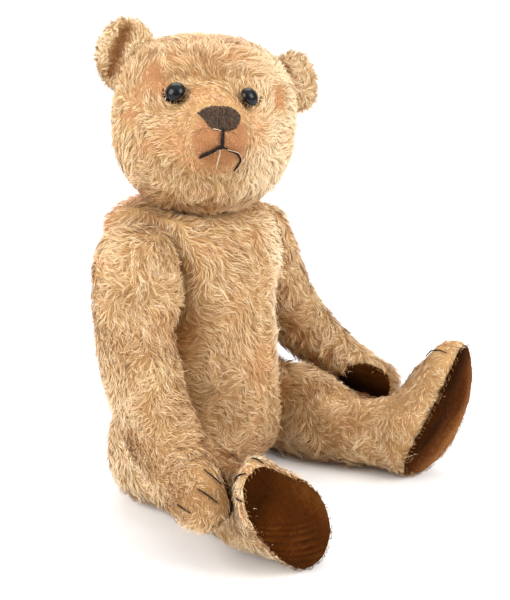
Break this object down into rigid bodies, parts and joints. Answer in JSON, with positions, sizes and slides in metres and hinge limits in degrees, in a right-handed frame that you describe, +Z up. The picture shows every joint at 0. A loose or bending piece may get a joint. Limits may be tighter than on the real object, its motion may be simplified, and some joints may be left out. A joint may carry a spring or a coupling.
{
  "type": "threadbare teddy bear",
  "caption": "Old jointed mohair teddy bear, seated, with worn bald patches, stitched nose and claws, button eyes and velvet foot pads.",
  "frame": {"origin": "on the floor under the middle of the seat", "axes": "+Z up, the bear faces -Y, its left side is +X"},
  "size_m": [0.3229, 0.238, 0.3685],
  "materials": {
    "mohair": "worn blond mohair pile, thin to bald in places",
    "wood_wool": "firmly packed wood wool",
    "velvet": "dark brown cotton velvet, creased and rubbed",
    "thread": "dark brown twisted thread, frayed",
    "button": "polished black boot button",
    "card": "stiff pressed card",
    "steel": "dull old steel"
  },
  "bodies": {
    "torso": {"torso_cover": "mohair", "torso_stuffing": "wood_wool", "neck_body_disc": "card", "neck_body_washer": "steel", "neck_pin": "steel", "shoulder_left_body_disc": "card", "shoulder_left_body_washer": "steel", "shoulder_left_pin": "steel", "shoulder_right_body_disc": "card", "shoulder_right_body_washer": "steel", "shoulder_right_pin": "steel", "hip_left_body_disc": "card", "hip_left_body_washer": "steel", "hip_left_pin": "steel", "hip_right_body_disc": "card", "hip_right_body_washer": "steel", "hip_right_pin": "steel"},
    "head": {"head_cover": "mohair", "head_stuffing": "wood_wool", "ear_left": "mohair", "ear_right": "mohair", "eye_left": "button", "eye_right": "button", "nose_stitching": "thread", "mouth_centre_stitch": "thread", "mouth_right_stitch": "thread", "mouth_left_stitch": "thread", "neck_limb_disc": "card", "neck_limb_washer": "steel"},
    "arm_left": {"arm_left_cover": "mohair", "arm_left_stuffing": "wood_wool", "paw_pad_left": "velvet", "paw_claw_left_1": "thread", "paw_claw_left_2": "thread", "paw_claw_left_3": "thread", "shoulder_left_limb_disc": "card", "shoulder_left_limb_washer": "steel"},
    "arm_right": {"arm_right_cover": "mohair", "arm_right_stuffing": "wood_wool", "paw_pad_right": "velvet", "paw_claw_right_1": "thread", "paw_claw_right_2": "thread", "paw_claw_right_3": "thread", "shoulder_right_limb_disc": "card", "shoulder_right_limb_washer": "steel"},
    "leg_left": {"leg_left_cover": "mohair", "leg_left_stuffing": "wood_wool", "sole_pad_left": "velvet", "foot_claw_left_1": "thread", "foot_claw_left_2": "thread", "hip_left_limb_disc": "card", "hip_left_limb_washer": "steel"},
    "leg_right": {"leg_right_cover": "mohair", "leg_right_stuffing": "wood_wool", "sole_pad_right": "velvet", "foot_claw_right_1": "thread", "foot_claw_right_2": "thread", "foot_claw_right_3": "thread", "hip_right_limb_disc": "card", "hip_right_limb_washer": "steel"}
  },
  "joints": [
    {"name": "neck_turn", "type": "hinge", "parent": "torso", "child": "head", "pos_m": [0, 0.003, 0.227], "axis": [0, 0, 1], "continuous": true},
    {"name": "shoulder_left_turn", "type": "hinge", "parent": "torso", "child": "arm_left", "pos_m": [0.052, 0.004, 0.183], "axis": [1, 0, 0], "range_deg": [0, 300]},
    {"name": "shoulder_right_turn", "type": "hinge", "parent": "torso", "child": "arm_right", "pos_m": [-0.052, 0.003, 0.192], "axis": [1, 0, 0], "range_deg": [0, 300]},
    {"name": "hip_left_turn", "type": "hinge", "parent": "torso", "child": "leg_left", "pos_m": [0.052, 0.004, 0.045], "axis": [1, 0, 0], "range_deg": [0, 190]},
    {"name": "hip_right_turn", "type": "hinge", "parent": "torso", "child": "leg_right", "pos_m": [-0.052, 0.004, 0.045], "axis": [1, 0, 0], "range_deg": [0, 190]}
  ]
}
